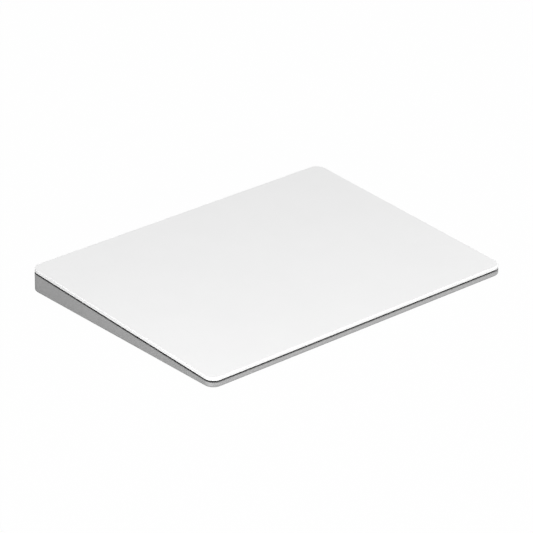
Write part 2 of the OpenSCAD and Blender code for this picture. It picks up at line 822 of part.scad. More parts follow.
// flex looped back on itself so that the touch plate can dip and shake
module main_flex() {
    end_gap = 0.1;
    low_l = socket_front - flex_bend_y;
    high_l = flex_high_y - flex_bend_y - end_gap;
    color("darkorange") translate([-flex_left - flex_w / 2, 0, 0]) {
        translate([0, flex_bend_y, flex_low_z - flex_t / 2]) cube([flex_w, low_l, flex_t]);
        translate([0, flex_bend_y, flex_high_z - flex_t / 2]) cube([flex_w, high_l, flex_t]);
        translate([0, flex_bend_y, flex_low_z + flex_bend_r]) rotate([0, 90, 0]) rotate([0, 0, 180])
            rotate_extrude(angle = 180) translate([flex_bend_r - flex_t / 2, 0]) square([flex_t, flex_w]);
    }
}

module antenna_carrier() {
    h = antenna_top - board_top;
    color("darkgray") translate([antenna_x, antenna_y, board_top]) difference() {
        slab(antenna_w, antenna_d, h, 2 * chip_r);
        translate([0, 0, -cut])
            slab(antenna_w - 2 * antenna_wall, antenna_d - 2 * antenna_wall, h - antenna_wall + cut, chip_r);
    }
}

// folded radiator: two slots cut in from opposite ends
module antenna_strip() {
    w = antenna_w - antenna_wall;
    d = antenna_d - antenna_wall;
    color("gold") translate([antenna_x, antenna_y, antenna_top]) linear_extrude(antenna_t) difference() {
        square([w, d], center = true);
        for (side = [-1, 1]) translate([side * antenna_slot, side * d / 5])
            square([w, antenna_slot], center = true);
    }
}

// charge port

module port_outline(inset) {
    round_rect(port_w - 2 * inset, port_h - 2 * inset, port_h / 2 - inset - slot_trim);
}

module port_shell() {
    color("silver") translate([0, port_rear, port_z]) rotate([90, 0, 0])
        linear_extrude(port_l) difference() {
            port_outline(0);
            port_outline(port_sheet_t);
        }
}

module port_insulator() {
    color("black") translate([0, port_rear, port_z]) rotate([90, 0, 0]) {
        translate([0, 0, port_depth]) linear_extrude(port_l - port_depth) port_outline(port_sheet_t);
        translate([-tongue_w / 2, -tongue_t / 2, tongue_start])
            cube([tongue_w, tongue_t, port_l - tongue_start]);
    }
}

module port_contacts() {
    contact_l = port_depth - contact_start;
    color("gold") translate([0, port_rear, port_z]) rotate([90, 0, 0])
        for (k = [-5.5 : 1 : 5.5], side = [-1, 1])
            translate([
                k * contact_pitch - contact_w / 2,
                side * (tongue_t + contact_t) / 2 - contact_t / 2,
                contact_start
            ]) cube([contact_w, contact_t, contact_l]);
}

module at_port_screws() {
    for (sx = [-1, 1]) translate([sx * strap_ear_x, strap_y, 0]) children();
}

// bent strap that holds the port down on the main board
module port_strap() {
    top = port_h + strap_room;
    color("silver") difference() {
        translate([0, strap_y + strap_d / 2, board_top]) rotate([90, 0, 0]) linear_extrude(strap_d)
            difference() {
                union() {
                    translate([-strap_span / 2 - strap_t, 0])
                        square([strap_span + 2 * strap_t, top + strap_t]);
                    translate([-strap_span / 2 - ear_w, 0]) square([strap_span + 2 * ear_w, strap_t]);
                }
                translate([-strap_span / 2, -cut]) square([strap_span, top + cut]);
            }
        at_port_screws() translate([0, 0, board_top - cut]) cylinder(h = strap_t + 2 * cut, d = screw_hole);
    }
}

module port_screws() {
    color("gray") at_port_screws() translate([0, 0, board_top + strap_t]) screw(strap_t + board_t);
}

// power switch

module switch_knob() {
    ridge_w = 0.3;
    ridge_depth = 0.2;
    ridge_pitch = 0.6;
    outer = pad_d / 2 + knob_proud;
    color("white") translate([switch_x, 0, port_z]) {
        difference() {
            rear_slot(knob_w, knob_h, cover_rear, outer);
            for (k = [-2 : 2])
                translate([k * ridge_pitch - ridge_w / 2, outer - ridge_depth, -knob_h / 2 - cut])
                    cube([ridge_w, ridge_depth + cut, knob_h + 2 * cut]);
        }
        translate([-cover_w / 2, cover_rear - cover_t, -cover_h / 2]) cube([cover_w, cover_t, cover_h]);
        translate([-stem_w / 2, cover_rear - cover_t - stem_l, -stem_h / 2]) cube([stem_w, stem_l, stem_h]);
    }
}

// patch beside the knob, seen in the window when the switch is on
module switch_flag() {
    color("limegreen")
        translate([switch_x - knob_w / 2 - knob_clear - knob_travel, cover_rear, port_z - window_h / 2])
            cube([knob_travel, flag_t, window_h]);
}

module switch_housing() {
    slot_w = stem_w + knob_travel + 2 * slot_room;
    slot_h = stem_h + 2 * slot_room;
    color("dimgray") translate([switch_right, housing_rear, board_top]) difference() {
        translate([-housing_w / 2, -housing_d, 0]) cube([housing_w, housing_d, port_h]);
        translate([-slot_w / 2, housing_back_t - housing_d, (port_h - slot_h) / 2])
            cube([slot_w, housing_d, slot_h]);
    }
}

// haptic drive: an electromagnet whose poles pull the armature in the plane of the glass

module drive_base() {
    front = drive_ear_y - drive_ear_dia / 2;
    rear = pole_y - former_wall;
    ear_r = drive_ear_dia / 2 - slot_trim;
    color("silver") translate([0, 0, floor_z]) linear_extrude(drive_base_t) difference() {
        union() {
            translate([-yoke_w / 2 - drive_edge, front]) square([yoke_w + 2 * drive_edge, rear - front]);
            translate([0, drive_ear_y]) round_rect(2 * drive_ear_x + drive_ear_dia, drive_ear_dia, ear_r);
        }
        at_drive_screws() circle(d = screw_hole);
    }
}

module drive_core() {
    color("darkslategray") {
        translate([-yoke_w / 2, yoke_front, floor_z + drive_base_t]) cube([yoke_w, yoke_d, 2 * coil_half]);
        at_poles() translate([-pole_w / 2, yoke_front, -pole_t / 2]) cube([pole_w, yoke_d + pole_l, pole_t]);
    }
}

// tube round a pole, grown by inner and outer amounts above and at the sides
module coil_tube(from, to, inner, outer, outer_side) {
    translate([0, to, 0]) rotate([90, 0, 0]) linear_extrude(to - from) difference() {
        round_rect(pole_w + 2 * outer_side, pole_t + 2 * outer, min(outer, outer_side));
        square([pole_w + 2 * inner, pole_t + 2 * inner], center = true);
    }
}

module drive_formers() {
    color("black") at_poles() {
        coil_tube(coil_front, coil_rear, former_clear, former_wall, former_wall);
        for (y = [coil_front, coil_rear - flange_t])
            coil_tube(y, y + flange_t, former_clear, former_wall + winding_t, former_wall + winding_side_t);
    }
}

module drive_windings() {
    outer = former_wall - winding_trim;
    color("peru") at_poles() coil_tube(
        coil_front + flange_t, coil_rear - flange_t, former_wall, outer + winding_t, outer + winding_side_t
    );
}

module drive_screws() {
    color("gray") at_drive_screws() translate([0, 0, floor_z + drive_base_t])
        screw(drive_base_t + floor_t - floor_skin - screw_clear);
}

// flat flex from the outer winding, in the floor groove under the battery, to the main board
module drive_lead() {
    socket_x = -drive_socket_x;
    ramp_y = cell_rear + cell_room;
    flat_y = socket_front - (socket_front - ramp_y) / 4;
    low = flex_low_z - flex_t / 2;
    high = flex_low_z + flex_t / 2;
    color("darkorange") mirror([1, 0, 0]) {
        translate([drive_lead_x, groove_front, groove_z]) cube([flex_t, strip_w, pole_z - groove_z]);
        translate([drive_lead_x, groove_front, groove_z])
            cube([socket_x + strip_w / 2 - drive_lead_x, strip_w, flex_t]);
        translate([socket_x - strip_w / 2, groove_front, groove_z])
            cube([strip_w, ramp_y - groove_front, flex_t]);
        translate([socket_x - strip_w / 2, 0, 0]) rotate([90, 0, 90]) linear_extrude(strip_w) polygon([
            [ramp_y - strip_w / 2, groove_z],
            [ramp_y, groove_z],
            [flat_y, low],
            [socket_front, low],
            [socket_front, high],
            [flat_y, high],
            [ramp_y, groove_z + flex_t],
            [ramp_y - strip_w / 2, groove_z + flex_t]
        ]);
    }
}

touch_glass();
bonding_sheet();
sensor_board();
touch_controller();
sensor_socket();
stiffener_plate();
armature();
for (c = CORNERS) gel_pad(c[1], c[2]);
switch_knob();
switch_flag();
base_tray();
for (c = CORNERS) foot(c[1], c[2]);
for (c = CORNERS) sensor_beam(c[1], c[2]);
for (c = CORNERS) strain_gauge(c[1], c[2]);
beam_screws();
gauge_harness(-1);  // gauge_harness_left
gauge_harness(1);  // gauge_harness_right
battery_cell();
battery_tape();
battery_board();
battery_wires();
battery_plug();
main_board();
board_screws();
shield_can();
radio_chip();
charge_chip();
power_coil();
board_passives();
flex_socket();
harness_sockets();
drive_socket();
main_flex();
antenna_carrier();
antenna_strip();
port_shell();
port_insulator();
port_contacts();
port_strap();
port_screws();
switch_housing();
drive_base();
drive_core();
drive_formers();
drive_windings();
drive_screws();
drive_lead();
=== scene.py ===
import json
import math

import bpy
from mathutils import Matrix, Vector


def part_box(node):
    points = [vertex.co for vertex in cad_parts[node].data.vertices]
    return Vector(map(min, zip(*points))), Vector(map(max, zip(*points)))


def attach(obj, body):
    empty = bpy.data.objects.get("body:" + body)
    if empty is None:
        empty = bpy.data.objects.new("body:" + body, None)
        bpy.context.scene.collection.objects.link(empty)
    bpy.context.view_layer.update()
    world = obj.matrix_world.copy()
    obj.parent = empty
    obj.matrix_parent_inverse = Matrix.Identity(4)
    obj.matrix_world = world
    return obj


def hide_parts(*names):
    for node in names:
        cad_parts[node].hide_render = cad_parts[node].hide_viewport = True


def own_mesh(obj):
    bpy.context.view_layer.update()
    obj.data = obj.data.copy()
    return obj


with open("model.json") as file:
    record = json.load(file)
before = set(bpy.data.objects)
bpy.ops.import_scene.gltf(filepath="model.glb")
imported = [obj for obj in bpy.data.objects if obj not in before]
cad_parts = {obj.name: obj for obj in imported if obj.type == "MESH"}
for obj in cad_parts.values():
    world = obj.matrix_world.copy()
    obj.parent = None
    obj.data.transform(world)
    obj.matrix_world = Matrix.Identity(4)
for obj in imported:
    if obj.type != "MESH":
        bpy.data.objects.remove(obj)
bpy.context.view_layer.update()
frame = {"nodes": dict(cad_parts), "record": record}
nodes = frame["nodes"]
scene = bpy.context.scene
mm = 0.001
corners = {  # the side of the middle that each corner is on, in x and in y
    "front_left": (-1, -1), "front_right": (1, -1), "rear_left": (-1, 1), "rear_right": (1, 1),
}
print("frame loaded:", len(nodes), "CAD nodes")


# shader sums written as plain expressions

class Wire:
    def __init__(self, sheet, socket):
        self.sheet = sheet
        self.socket = socket

    def calc(self, operation, first, second=0.0):
        return self.sheet.add("ShaderNodeMath", {"operation": operation}, {0: first, 1: second})

    def __add__(self, other):
        return self.calc("ADD", self, other)

    def __sub__(self, other):
        return self.calc("SUBTRACT", self, other)

    def __rsub__(self, other):
        return self.calc("SUBTRACT", other, self)

    def __mul__(self, other):
        return self.calc("MULTIPLY", self, other)

    def __truediv__(self, other):
        return self.calc("DIVIDE", self, other)

    def __rtruediv__(self, other):
        return self.calc("DIVIDE", other, self)

    def __mod__(self, other):
        return self.calc("FLOORED_MODULO", self, other)

    def __gt__(self, other):
        return self.calc("GREATER_THAN", self, other)

    def __lt__(self, other):
        return self.calc("LESS_THAN", self, other)

    def __abs__(self):
        return self.calc("ABSOLUTE", self)

    __radd__ = __add__
    __rmul__ = __mul__


# several wires added up, each in its share
def mixed(wires, shares):
    return sum(wire * share for wire, share in zip(wires, shares))


class Finish:
    def __init__(self, name):
        self.material = bpy.data.materials.new(name)
        self.material.use_nodes = True
        self.tree = self.material.node_tree
        self.tree.nodes.clear()
        self.place = self.add("ShaderNodeTexCoord", out="Object")

    # one node: its type, its settings, then the values or wires of its sockets
    def add(self, kind, settings=None, inputs=None, out=0):
        node = self.tree.nodes.new(kind)
        for key, value in (settings or {}).items():
            setattr(node, key, value)
        for key, value in (inputs or {}).items():
            if isinstance(value, Wire):
                self.tree.links.new(value.socket, node.inputs[key])
            else:
                node.inputs[key].default_value = value
        return Wire(self, node.outputs[out])

    # how far along an axis a point of the surface lies, in metres
    def along(self, axis):
        return self.add("ShaderNodeSeparateXYZ", {}, {0: self.place}, out="xyz".index(axis))

    # soft random grain whose blotches are about size metres across
    def grain(self, size, detail=2.0, stretch=(1, 1, 1), roughness=0.5):
        spread = self.add("ShaderNodeMapping", {"vector_type": "POINT"}, {0: self.place, "Scale": stretch})
        return self.add("ShaderNodeTexNoise", {}, {
            "Vector": spread, "Scale": 1 / size, "Detail": detail, "Roughness": roughness})

    # ridges across an axis, from 0 in the valleys to 1 on the crests
    def wave(self, axis, pitch):
        return 1 - abs(self.along(axis) % pitch / pitch - 0.5) * 2

    # 1 on lines across an axis that take a share of each pitch, 0 between them
    def lines(self, axis, pitch, share):
        return self.along(axis) % pitch < pitch * share

    # 1 on round dots in rows, 0 between them
    def dots(self, pitch, radius):
        offX = self.along("x") % pitch - pitch / 2
        offY = self.along("y") % pitch - pitch / 2
        return offX * offX + offY * offY < radius * radius

    # dark and light are colours, or wires that already carry one
    def tint(self, factor, dark, light):
        ends = [end if isinstance(end, Wire) else (*end, 1) for end in (dark, light)]
        inputs = {0: factor, 6: ends[0], 7: ends[1]}  # 6 and 7 take colours, and output 2 gives one
        return self.add("ShaderNodeMix", {"data_type": "RGBA"}, inputs, out=2)

    # relief is the bumps' depth in metres and how strongly they show
    def bump(self, height, relief, under=None):
        inputs = {"Height": height, "Distance": relief[0], "Strength": relief[1]}
        if under is not None:
            inputs["Normal"] = under
        return self.add("ShaderNodeBump", {}, inputs)

    def close(self, **sockets):
        named = {key.replace("_", " "): value for key, value in sockets.items()}
        self.end(self.add("ShaderNodeBsdfPrincipled", {}, named))
        return self.material

    def end(self, shader):
        self.tree.links.new(shader.socket, self.tree.nodes.new("ShaderNodeOutputMaterial").inputs[0])


def dress(material, *names):
    for name in names:
        nodes[name].material_slots[0].material = material


def atCorners(stem):
    return [stem + "_" + corner for corner in corners]


# camera at the photograph's viewing angle

shot = {
    "turn": -41.843, "rise": 26.166, "roll": 0.84,  # degrees
    "aim": (0, 0, 5 * mm), "away": 1.35592, "nearest": 0.05,
    "focal": 3269.3, "frame": 533, "sensor": 36.0,  # focal length and frame in pixels
    "offset": (1.828, -5.19),  # where the aim point lies from the middle, in pixels, up positive
}
turn, rise, roll = (math.radians(shot[key]) for key in ("turn", "rise", "roll"))
back = Vector((math.sin(turn) * math.cos(rise), -math.cos(turn) * math.cos(rise), math.sin(rise)))
right = Vector((math.cos(turn), math.sin(turn), 0))
up = back.cross(right)
acrossAxis = right * math.cos(roll) + up * math.sin(roll)
upAxis = up * math.cos(roll) - right * math.sin(roll)
shiftX, shiftY = (value / shot["focal"] for value in shot["offset"])
lookBack = (back + acrossAxis * shiftX + upAxis * shiftY).normalized()
acrossAxis = (acrossAxis - lookBack * acrossAxis.dot(lookBack)).normalized()
upAxis = lookBack.cross(acrossAxis)
cameraData = bpy.data.cameras.new("photoCamera")
cameraData.sensor_width = shot["sensor"]
cameraData.lens = shot["focal"] / shot["frame"] * shot["sensor"]
cameraData.clip_start = shot["nearest"]
camera = bpy.data.objects.new("photoCamera", cameraData)
scene.collection.objects.link(camera)
camera.matrix_world = Matrix.Translation(Vector(shot["aim"]) + back * shot["away"]) @ Matrix((
    acrossAxis, upAxis, lookBack)).transposed().to_4x4()
scene.camera = camera
scene.view_settings.view_transform = "Standard"
print("camera placed")


# floor, lamps and world

stageLook = {
    "floorSize": 60.0, "floorColour": (0.45, 0.45, 0.45), "cameraGlow": 0.99, "glossGlow": 0.15,
    "worldColour": (0.1, 0.1, 0.1),
    "lamps": [  # name, place, width and height, watts
        ("overheadSoftbox", (0, -0.27, 1.0), (1.0, 1.0), 10.3),
        ("frontSoftbox", (0.35, -0.78, 0.14), (1.0, 0.26), 4.6),
        ("cornerSoftbox", (-0.556, -0.225, 0.1), (0.28, 0.2), 2.4),
        ("rearSoftbox", (0.4, 0.8, 0.35), (0.8, 0.4), 0.3),
    ],
}

bpy.ops.object.select_all(action="DESELECT")
bpy.ops.mesh.primitive_plane_add(size=stageLook["floorSize"])
floor = bpy.context.object
floor.name = "studioFloor"
sweep = Finish("paleFloor")
seen = sweep.add("ShaderNodeLightPath", out="Is Camera Ray") * stageLook["cameraGlow"]
for kind in ("Is Glossy Ray", "Is Transmission Ray"):
    mirrored = sweep.add("ShaderNodeLightPath", out=kind) * stageLook["glossGlow"]
    seen = seen.calc("MAXIMUM", seen, mirrored)
matte = sweep.add("ShaderNodeBsdfDiffuse", {}, {"Color": (*stageLook["floorColour"], 1)})
glow = sweep.add("ShaderNodeEmission", {}, {"Color": (1, 1, 1, 1), "Strength": 1.0})
sweep.end(sweep.add("ShaderNodeMixShader", {}, {0: seen, 1: matte, 2: glow}))
floor.data.materials.append(sweep.material)

for name, place, (wide, high), watts in stageLook["lamps"]:
    lampData = bpy.data.lights.new(name, "AREA")
    lampData.shape = "RECTANGLE"
    lampData.size = wide
    lampData.size_y = high
    lampData.energy = watts
    lamp = bpy.data.objects.new(name, lampData)
    scene.collection.objects.link(lamp)
    lamp.location = place
    lamp.rotation_euler = (Vector(shot["aim"]) - Vector(place)).to_track_quat("-Z", "Y").to_euler()

world = bpy.data.worlds.new("studioWorld")
world.use_nodes = True
scene.world = world
air = world.node_tree
air.nodes.clear()
background = air.nodes.new("ShaderNodeBackground")
background.inputs["Color"].default_value = (*stageLook["worldColour"], 1)
air.links.new(background.outputs[0], air.nodes.new("ShaderNodeOutputWorld").inputs[0])
print("stage ready")


# outside finishes: rough is the roughness that the grains and marks add to or take from

brushed = {"x": (0.02, 1, 1), "y": (1, 0.02, 1)}  # stretch of a grain that runs along an axis


def etchedGlass():
    look = {
        "shade": (0.815, 0.815, 0.815), "white": (0.835, 0.835, 0.835),
        "etch": 0.12 * mm, "cloud": 14 * mm, "relief": (0.004 * mm, 0.35),
        "rough": 0.7, "etchRough": 0.12, "ior": 1.5, "gloss": 0.18,
    }
    finish = Finish("etchedGlass")
    etch = finish.grain(look["etch"], detail=3.0)
    cloud = finish.grain(look["cloud"])
    return finish.close(
        Base_Color=finish.tint(cloud, look["shade"], look["white"]),
        Roughness=look["rough"] + etch * look["etchRough"],
        IOR=look["ior"], Specular_IOR_Level=look["gloss"], Normal=finish.bump(etch, look["relief"]))


# blasted and anodised outside, milled inside
def blastedAluminium():
    look = {
        "dark": (0.365, 0.365, 0.365), "light": (0.505, 0.505, 0.505),
        "bead": 0.18 * mm, "blast": 0.5 * mm, "cloud": 22 * mm, "shares": (0.4, 0.4, 0.2),
        "pocketX": 78.3 * mm, "pocketY": 55.8 * mm, "pocketZ": 1.1 * mm,  # where the milled inside begins
        "cutterPass": 3 * mm, "toothMark": 0.14 * mm, "markShares": (0.6, 0.4),
        "metal": 0.55, "rough": 0.5, "beadRough": 0.1, "milledGloss": 0.16, "relief": (0.006 * mm, 0.5),
    }
    finish = Finish("blastedAluminium")
    bead = finish.grain(look["bead"])
    blast = finish.grain(look["blast"])
    cloud = finish.grain(look["cloud"])
    sides = (abs(finish.along("x")) < look["pocketX"]) * (abs(finish.along("y")) < look["pocketY"])
    milled = sides * (finish.along("z") > look["pocketZ"])
    passes = finish.wave("y", look["cutterPass"])
    teeth = finish.wave("x", look["toothMark"])
    marks = mixed((passes, teeth), look["markShares"])
    return finish.close(
        Base_Color=finish.tint(mixed((bead, blast, cloud), look["shares"]), look["dark"], look["light"]),
        Metallic=look["metal"],
        Roughness=look["rough"] + bead * look["beadRough"] - milled * look["milledGloss"],
        Normal=finish.bump(bead + milled * (marks - bead), look["relief"]))


# moulded skin: fine sparks of the mould over slow flow streaks
def mouldedPlastic(name, dark, light, rough, skinSize=0.12 * mm):
    look = {
        "streak": skinSize * 30, "flow": (1, 0.3, 1), "shares": (0.5, 0.5),
        "skinRough": 0.14, "relief": (skinSize * 0.05, 0.5),
    }
    finish = Finish(name)
    skin = finish.grain(skinSize, detail=3.0)
    streak = finish.grain(look["streak"], stretch=look["flow"])
    return finish.close(
        Base_Color=finish.tint(mixed((skin, streak), look["shares"]), dark, light),
        Roughness=rough + skin * look["skinRough"], Normal=finish.bump(skin, look["relief"]))


def drawnSteel(name, dark, light, rough, stretch):
    look = {
        "brush": 0.06 * mm, "stain": 7 * mm, "shares": (0.6, 0.4),
        "brushRough": 0.14, "stainRough": 0.08, "relief": (0.003 * mm, 0.5),
    }
    finish = Finish(name)
    brush = finish.grain(look["brush"], stretch=stretch)
    stain = finish.grain(look["stain"], detail=3.0)
    return finish.close(
        Base_Color=finish.tint(mixed((brush, stain), look["shares"]), dark, light), Metallic=1.0,
        Roughness=rough + brush * look["brushRough"] + stain * look["stainRough"],
        Normal=finish.bump(brush, look["relief"]))


def platedMetal(name, dark, light, rough):
    look = {
        "pit": 0.05 * mm, "tarnish": 1.6 * mm, "shares": (0.4, 0.6),
        "tarnishRough": 0.16, "relief": (0.002 * mm, 0.5),
    }
    finish = Finish(name)
    pit = finish.grain(look["pit"])
    tarnish = finish.grain(look["tarnish"], detail=3.0)
    return finish.close(
        Base_Color=finish.tint(mixed((pit, tarnish), look["shares"]), dark, light), Metallic=1.0,
        Roughness=rough + tarnish * look["tarnishRough"], Normal=finish.bump(pit, look["relief"]))


def footRubber():
    look = {
        "dark": (0.58, 0.58, 0.575), "light": (0.7, 0.7, 0.69),
        "crumb": 0.14 * mm, "crumbHarsh": 0.65, "scuff": 1.8 * mm, "scuffRun": (1, 0.25, 1),
        "shares": (0.5, 0.5), "rough": 0.68, "crumbRough": 0.2, "gloss": 0.3, "relief": (0.03 * mm, 0.6),
    }
    finish = Finish("footRubber")
    crumb = finish.grain(look["crumb"], detail=4.0, roughness=look["crumbHarsh"])
    scuff = finish.grain(look["scuff"], detail=3.0, stretch=look["scuffRun"])
    return finish.close(
        Base_Color=finish.tint(mixed((crumb, scuff), look["shares"]), look["dark"], look["light"]),
        Roughness=look["rough"] + crumb * look["crumbRough"], Specular_IOR_Level=look["gloss"],
        Normal=finish.bump(crumb, look["relief"]))


def flagPaint():
    look = {
        "dark": (0.05, 0.42, 0.09), "light": (0.09, 0.56, 0.14),
        "spray": 0.08 * mm, "rough": 0.38, "sprayRough": 0.15, "relief": (0.006 * mm, 0.5),
    }
    finish = Finish("flagPaint")
    spray = finish.grain(look["spray"])
    return finish.close(
        Base_Color=finish.tint(spray, look["dark"], look["light"]),
        Roughness=look["rough"] + spray * look["sprayRough"], Normal=finish.bump(spray, look["relief"]))


knobLook = {"dark": (0.66, 0.66, 0.665), "light": (0.78, 0.78, 0.785), "rough": 0.36}
shellLook = {"dark": (0.44, 0.44, 0.45), "light": (0.62, 0.62, 0.63), "rough": 0.22, "stretch": brushed["y"]}
insulatorLook = {"dark": (0.008, 0.008, 0.009), "light": (0.022, 0.022, 0.024), "rough": 0.24}
contactLook = {"dark": (0.66, 0.45, 0.16), "light": (0.92, 0.7, 0.32), "rough": 0.16}
dress(etchedGlass(), "touch_glass")
dress(blastedAluminium(), "base_tray")
dress(footRubber(), *atCorners("foot"))
dress(mouldedPlastic("knobPlastic", **knobLook), "switch_knob")
dress(flagPaint(), "switch_flag")
dress(drawnSteel("portSteel", **shellLook), "port_shell")
dress(mouldedPlastic("portPlastic", **insulatorLook), "port_insulator")
dress(platedMetal("contactGold", **contactLook), "port_contacts")
print("outside dressed")


# inside finishes

def blackPrint():
    look = {
        "dark": (0.01, 0.01, 0.011), "light": (0.026, 0.026, 0.027),
        "mesh": 0.22 * mm, "fleck": 0.5 * mm, "shares": (0.6, 0.4),
        "rough": 0.6, "fleckRough": 0.2, "relief": (0.006 * mm, 0.5),
    }
    finish = Finish("blackPrint")
    mesh = finish.wave("x", look["mesh"]) * finish.wave("y", look["mesh"])
    fleck = finish.grain(look["fleck"], detail=3.0)
    return finish.close(
        Base_Color=finish.tint(mixed((fleck, mesh), look["shares"]), look["dark"], look["light"]),
        Roughness=look["rough"] + fleck * look["fleckRough"], Normal=finish.bump(mesh, look["relief"]))


# rows of copper diamonds under green mask
def touchGrid():
    look = {
        "mask": (0.006, 0.045, 0.028), "overCopper": (0.018, 0.12, 0.06), "lead": (0.03, 0.17, 0.085),
        "pitch": 5 * mm, "fill": 0.46, "leadShare": 0.05, "leadShows": 0.8,
        "weave": 0.3 * mm, "shares": (0.85, 0.15), "weaveHeight": 0.3,
        "rough": 0.36, "weaveRough": 0.14, "relief": (0.02 * mm, 0.6),
    }
    finish = Finish("touchGrid")
    half = look["pitch"] / 2
    offX = abs(finish.along("x") % look["pitch"] - half)
    offY = abs(finish.along("y") % look["pitch"] - half)
    diamond = offX + offY < look["pitch"] * look["fill"]
    lead = offX < look["pitch"] * look["leadShare"] / 2
    weave = finish.grain(look["weave"])
    copper = finish.tint(mixed((diamond, weave), look["shares"]), look["mask"], look["overCopper"])
    return finish.close(
        Base_Color=finish.tint(lead * look["leadShows"], copper, look["lead"]),
        Roughness=look["rough"] + weave * look["weaveRough"],
        Normal=finish.bump(diamond + weave * look["weaveHeight"], look["relief"]))


# tracks turn with the patch that they are in, with tinned holes between them
def solderMask():
    look = {
        "mask": (0.006, 0.045, 0.028), "overCopper": (0.02, 0.13, 0.065), "tin": (0.56, 0.55, 0.52),
        "lane": 0.5 * mm, "trackShare": 0.46, "patch": 4.5 * mm, "patchTurns": 0.5,
        "holePitch": 1.9 * mm, "holeR": 0.16 * mm, "holeMetal": 0.9, "holeHeight": 0.6,
        "weave": 0.25 * mm, "shares": (0.8, 0.2),
        "rough": 0.34, "weaveRough": 0.14, "relief": (0.02 * mm, 0.6),
    }
    finish = Finish("solderMask")
    turned = finish.grain(look["patch"], detail=1.0) > look["patchTurns"]
    upright = finish.lines("x", look["lane"], look["trackShare"])
    level = finish.lines("y", look["lane"], look["trackShare"])
    track = turned * upright + (1 - turned) * level
    hole = finish.dots(look["holePitch"], look["holeR"])
    weave = finish.grain(look["weave"])
    green = finish.tint(mixed((track, weave), look["shares"]), look["mask"], look["overCopper"])
    return finish.close(
        Base_Color=finish.tint(hole, green, look["tin"]), Metallic=hole * look["holeMetal"],
        Roughness=look["rough"] + weave * look["weaveRough"],
        Normal=finish.bump(track + hole * look["holeHeight"], look["relief"]))


# amber film with copper tracks showing through
def flexFilm(name, axis, pitch, share):
    look = {
        "film": (0.42, 0.17, 0.03), "thin": (0.55, 0.26, 0.05), "copper": (0.68, 0.34, 0.14),
        "copperShows": 0.75, "copperMetal": 0.5, "haze": 1.2 * mm, "hazeHeight": 0.4,
        "rough": 0.26, "hazeRough": 0.16, "relief": (0.012 * mm, 0.6),
    }
    finish = Finish(name)
    track = finish.lines(axis, pitch, share)
    haze = finish.grain(look["haze"], detail=3.0)
    film = finish.tint(haze, look["film"], look["thin"])
    return finish.close(
        Base_Color=finish.tint(track * look["copperShows"], film, look["copper"]),
        Metallic=track * look["copperMetal"], Roughness=look["rough"] + haze * look["hazeRough"],
        Normal=finish.bump(track + haze * look["hazeHeight"], look["relief"]))


def pouchFoil():
    look = {
        "dark": (0.24, 0.245, 0.26), "light": (0.42, 0.425, 0.44),
        "crease": 7 * mm, "creaseRun": (0.6, 1, 1), "creaseHarsh": 0.6, "creaseRelief": (0.12 * mm, 0.5),
        "emboss": 0.35 * mm, "shares": (0.7, 0.3),
        "middleY": 17 * mm, "bodyHalf": 16.4 * mm,  # beyond this half depth lies the pressed seam
        "pressPitch": 0.8 * mm, "pressShare": 0.5, "pressHeight": 2, "fineRelief": (0.02 * mm, 0.5),
        "metal": 0.8, "rough": 0.3, "embossRough": 0.14, "seamRough": 0.12,
    }
    finish = Finish("pouchFoil")
    crease = finish.grain(look["crease"], 4.0, look["creaseRun"], look["creaseHarsh"])
    emboss = finish.grain(look["emboss"])
    seam = abs(finish.along("y") - look["middleY"]) > look["bodyHalf"]
    pressed = seam * finish.lines("x", look["pressPitch"], look["pressShare"])
    fine = finish.bump(emboss + pressed * look["pressHeight"], look["fineRelief"])
    return finish.close(
        Base_Color=finish.tint(mixed((crease, emboss), look["shares"]), look["dark"], look["light"]),
        Metallic=look["metal"],
        Roughness=look["rough"] + emboss * look["embossRough"] + seam * look["seamRough"],
        Normal=finish.bump(crease, look["creaseRelief"], fine))


def tapeCloth():
    look = {
        "dark": (0.62, 0.62, 0.6), "light": (0.82, 0.82, 0.8),
        "thread": 0.4 * mm, "threadShares": (0.5, 0.5), "glue": 2.4 * mm, "shares": (0.5, 0.5),
        "rough": 0.52, "glueRough": 0.2, "relief": (0.02 * mm, 0.6),
    }
    finish = Finish("tapeCloth")
    weave = mixed([finish.wave(axis, look["thread"]) for axis in "xy"], look["threadShares"])
    glue = finish.grain(look["glue"], detail=3.0)
    return finish.close(
        Base_Color=finish.tint(mixed((weave, glue), look["shares"]), look["dark"], look["light"]),
        Roughness=look["rough"] + glue * look["glueRough"], Normal=finish.bump(weave, look["relief"]))


# one wire red, the other black, both with a painted sheen of light grey streaks along the wire
def wireCover():
    look = {
        "red": (0.4, 0.03, 0.02), "black": (0.015, 0.015, 0.016), "between": 40.75 * mm,
        "drawn": 0.1 * mm, "drawnTone": (0.6, 0.6, 0.6), "drawnShows": 0.12,
        "rough": 0.42, "drawnRough": 0.16, "relief": (0.008 * mm, 0.5),
    }
    finish = Finish("wireCover")
    drawn = finish.grain(look["drawn"], stretch=brushed["y"])
    colour = finish.tint(finish.along("x") > look["between"], look["black"], look["red"])
    return finish.close(
        # painted sheen: the drawn grain mixes light grey streaks into the wire's colour; the same grain
        # gives real roughness and bumps
        Base_Color=finish.tint(drawn * look["drawnShows"], colour, look["drawnTone"]),
        Roughness=look["rough"] + drawn * look["drawnRough"], Normal=finish.bump(drawn, look["relief"]))


def tinnedSheet():
    look = {
        "dark": (0.5, 0.5, 0.49), "light": (0.7, 0.7, 0.68),
        "spangle": 1.4 * mm, "roll": 0.08 * mm, "shares": (0.6, 0.4),
        "rough": 0.24, "spangleRough": 0.16, "relief": (0.004 * mm, 0.5),
    }
    finish = Finish("tinnedSheet")
    spangle = finish.add("ShaderNodeTexVoronoi", {"feature": "F1"}, {
        "Vector": finish.place, "Scale": 1 / look["spangle"]}, out="Distance")
    roll = finish.grain(look["roll"], stretch=brushed["x"])
    return finish.close(
        Base_Color=finish.tint(mixed((spangle, roll), look["shares"]), look["dark"], look["light"]),
        Metallic=1.0, Roughness=look["rough"] + spangle * look["spangleRough"],
        Normal=finish.bump(roll, look["relief"]))


